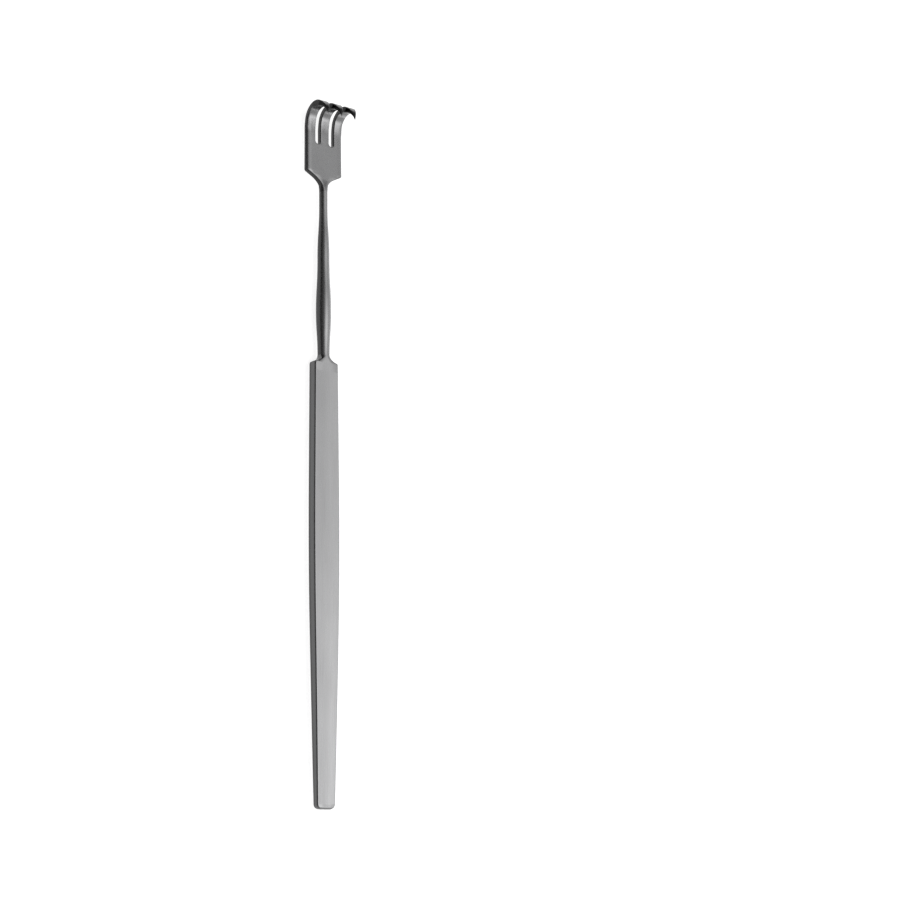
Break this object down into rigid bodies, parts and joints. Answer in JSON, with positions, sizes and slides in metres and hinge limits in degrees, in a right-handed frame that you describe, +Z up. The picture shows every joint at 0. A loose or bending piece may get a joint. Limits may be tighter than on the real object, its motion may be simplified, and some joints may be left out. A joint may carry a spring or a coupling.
{
  "type": "rake retractor",
  "caption": "Slender hand-held rake retractor: a flat tapered bar handle, a baluster shank and a flat head whose pointed prongs curl over into sharp hooks.",
  "frame": {"origin": "middle of the bounding box in plan, at the height of the underside of the shank's swell, the lowest point when the handle's back face is level", "axes": "+X along the instrument from the butt of the handle to the top of the hooks, +Y across the flat head, +Z up out of the handle's front face, the way the hooks curl"},
  "size_m": [0.165, 0.01, 0.0097],
  "materials": {
    "handle_steel": "satin, brushed along the bar",
    "rake_steel": "satin, blasted",
    "braze": "silver braze, as flowed"
  },
  "bodies": {
    "root": {"handle": "handle_steel", "working_end": "rake_steel", "tang_braze": "braze"}
  },
  "joints": []
}
